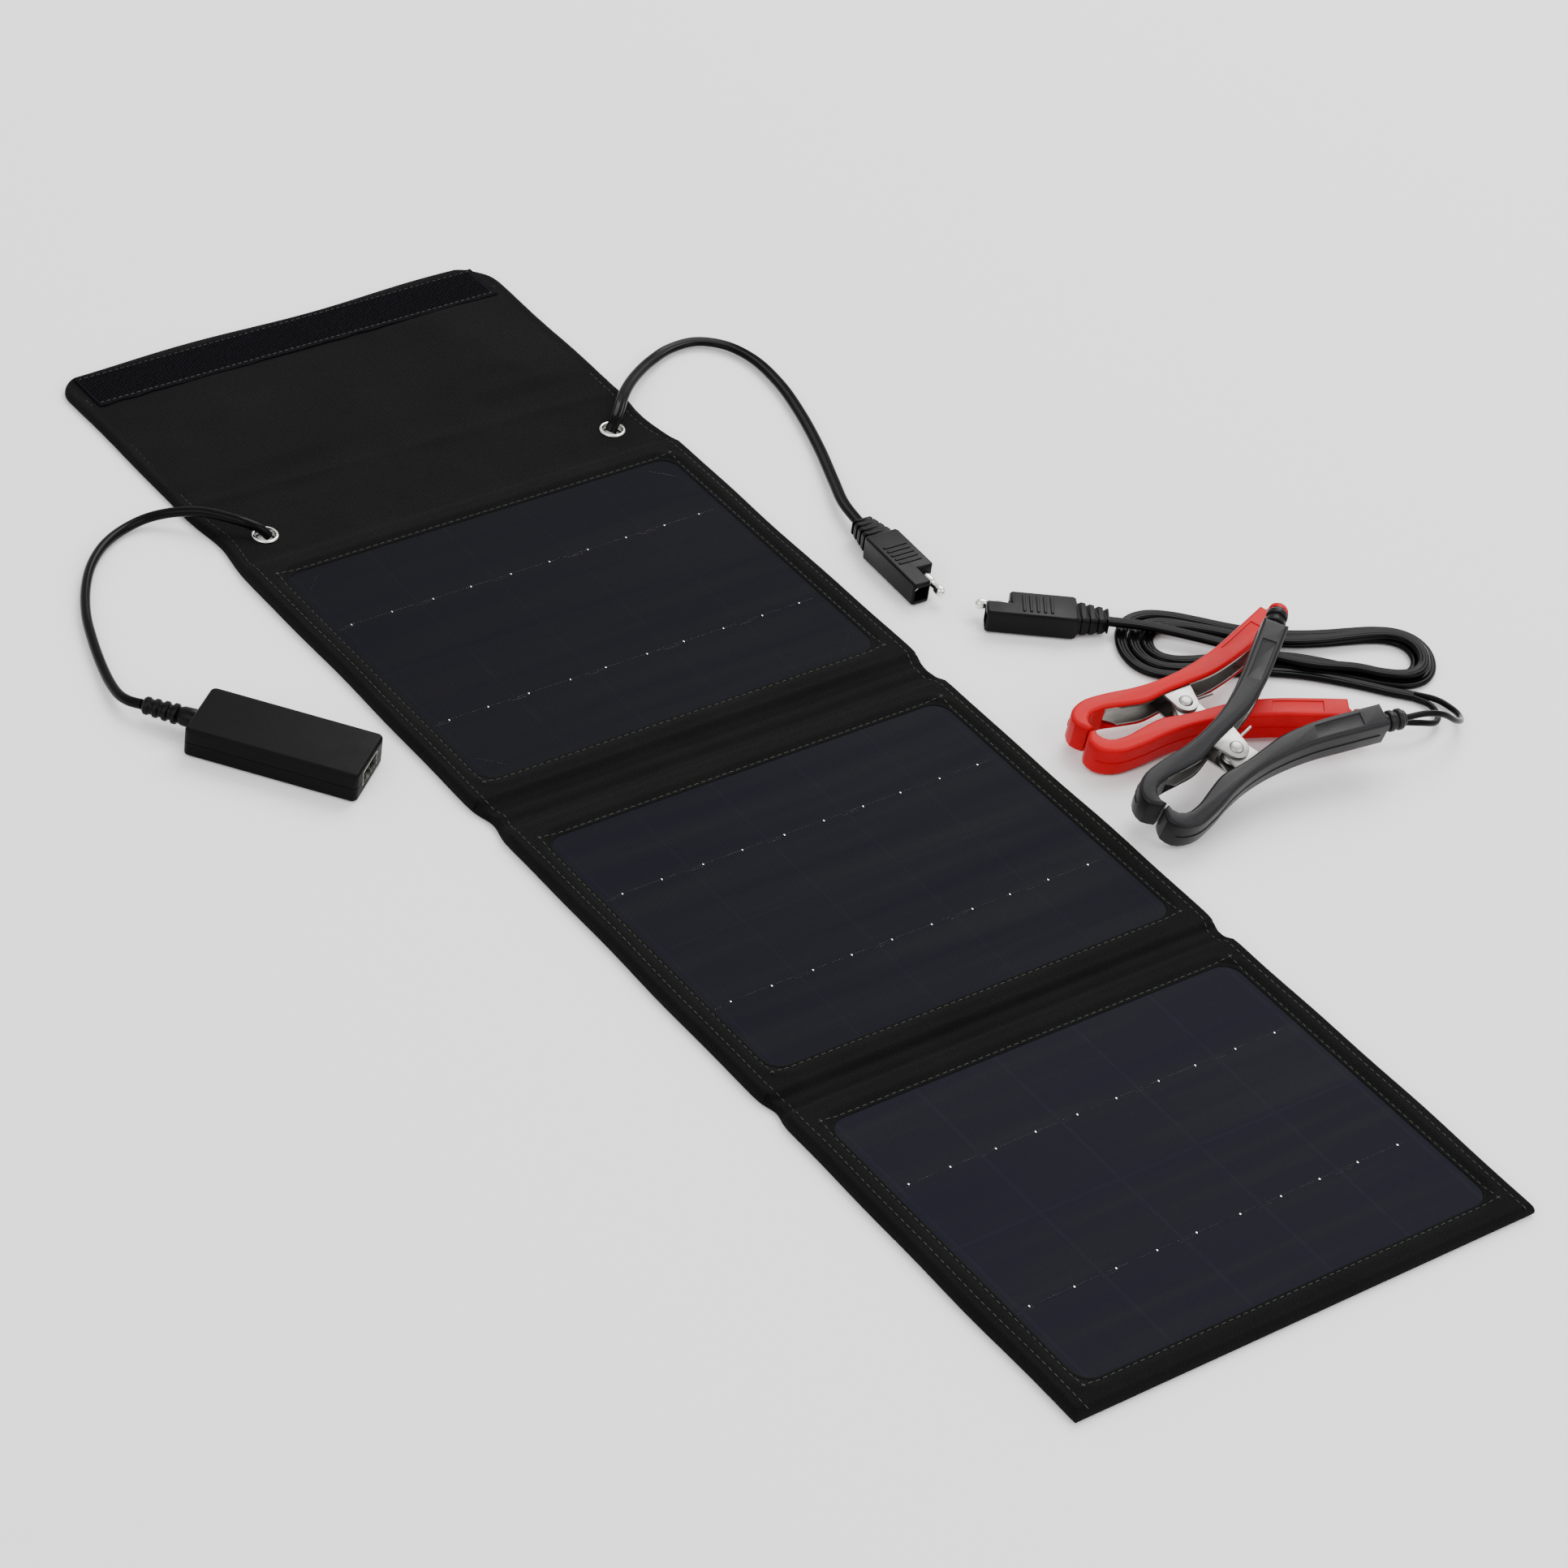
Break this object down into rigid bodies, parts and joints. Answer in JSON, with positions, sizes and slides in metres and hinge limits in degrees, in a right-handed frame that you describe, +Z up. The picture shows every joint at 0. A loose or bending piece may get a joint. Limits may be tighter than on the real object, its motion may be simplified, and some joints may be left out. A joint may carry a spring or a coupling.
{
  "type": "folding solar panel",
  "caption": "Folding fabric solar charger with stitched panels on soft spines, a closing flap, a USB lead and a quick-connect lead with spring clips.",
  "frame": {"origin": "middle of the opened strip, on the surface that it lies on", "axes": "+X along the strip from the closing flap to the last panel, +Y across the strip towards the quick-connect lead, +Z up out of the solar cells"},
  "size_m": [0.6264, 0.4553, 0.0377],
  "materials": {
    "fabric": "fine woven polyester, matt",
    "tape": "hook and loop tape",
    "board": "glass-fibre board",
    "silicon": "blue-black silicon with tinned ribbons",
    "front_sheet": "clear textured polyester, semi-matt",
    "copper": "tinned copper foil",
    "nickel": "nickel plate",
    "black_plastic": "fine-textured moulding",
    "red_plastic": "semi-gloss vinyl boot",
    "circuit_board": "solder mask",
    "cord": "smooth vinyl sheath",
    "steel": "zinc-plated steel"
  },
  "bodies": {
    "panel_1": {"panel_1_back_cover": "fabric", "panel_1_front_cover": "fabric", "panel_1_board": "board", "panel_1_cells": "silicon", "panel_1_front_sheet": "front_sheet", "link_1_to_2_first": "copper", "usb_feed_wire": "copper", "plug_feed_wire": "copper", "usb_eyelet": "nickel", "usb_eyelet_washer": "nickel", "plug_eyelet": "nickel", "plug_eyelet_washer": "nickel", "usb_cord": "cord", "usb_box_top": "black_plastic", "usb_box_bottom": "black_plastic", "usb_socket_shell": "nickel", "usb_socket_tongue": "black_plastic", "usb_circuit_board": "circuit_board", "usb_strain_relief": "cord", "plug_cord": "cord", "panel_plug_body": "black_plastic", "panel_plug_pin": "nickel", "panel_plug_sleeve": "nickel"},
    "panel_2": {"panel_2_back_cover": "fabric", "panel_2_front_cover": "fabric", "panel_2_board": "board", "panel_2_cells": "silicon", "panel_2_front_sheet": "front_sheet", "loop_strip": "tape", "link_1_to_2_second": "copper", "link_2_to_3_first": "copper"},
    "panel_3": {"panel_3_back_cover": "fabric", "panel_3_front_cover": "fabric", "panel_3_board": "board", "panel_3_cells": "silicon", "panel_3_front_sheet": "front_sheet", "link_2_to_3_second": "copper"},
    "flap": {"flap_back_cover": "fabric", "flap_front_cover": "fabric", "flap_liner": "board", "hook_strip": "tape"},
    "clip_lead": {"lead_plug_body": "black_plastic", "lead_plug_pin": "nickel", "lead_plug_sleeve": "nickel", "lead_hank": "cord", "red_clip_wire": "cord", "black_clip_wire": "cord", "red_clip_lower_boot": "red_plastic", "red_clip_lower_jaw": "steel", "red_clip_rivet": "steel", "red_clip_spring": "steel", "black_clip_lower_boot": "black_plastic", "black_clip_lower_jaw": "steel", "black_clip_rivet": "steel", "black_clip_spring": "steel"},
    "red_clip_upper": {"red_clip_upper_boot": "red_plastic", "red_clip_upper_jaw": "steel"},
    "black_clip_upper": {"black_clip_upper_boot": "black_plastic", "black_clip_upper_jaw": "steel"}
  },
  "joints": [
    {"name": "fold_12", "type": "hinge", "parent": "panel_1", "child": "panel_2", "pos_m": [-0.0127, 0, 0.0072], "axis": [0, -1, 0], "range_deg": [0, 179.8]},
    {"name": "fold_23", "type": "hinge", "parent": "panel_2", "child": "panel_3", "pos_m": [0.1545, 0, 0.0047], "axis": [0, -1, 0], "range_deg": [0, 179.8]},
    {"name": "flap_fold", "type": "hinge", "parent": "panel_1", "child": "flap", "pos_m": [-0.2102, 0, 0.00955], "axis": [0, 1, 0], "range_deg": [0, 179.8]},
    {"name": "lead_lift", "type": "slide", "parent": "panel_1", "child": "clip_lead", "axis": [0, 0, 1], "range_m": [0, 0.04]},
    {"name": "red_clip_squeeze", "type": "hinge", "parent": "clip_lead", "child": "red_clip_upper", "pos_m": [0.0574, 0.1569, 0.01], "axis": [-0.1435, 0.0544, -0.9881], "range_deg": [0, 26], "stiffness_Nm_per_rad": 0.3, "springref_deg": -28.65},
    {"name": "black_clip_squeeze", "type": "hinge", "parent": "clip_lead", "child": "black_clip_upper", "pos_m": [0.0922, 0.1498, 0.0164], "axis": [-0.2841, 0.0788, -0.9556], "range_deg": [0, 26], "stiffness_Nm_per_rad": 0.3, "springref_deg": -28.65}
  ]
}
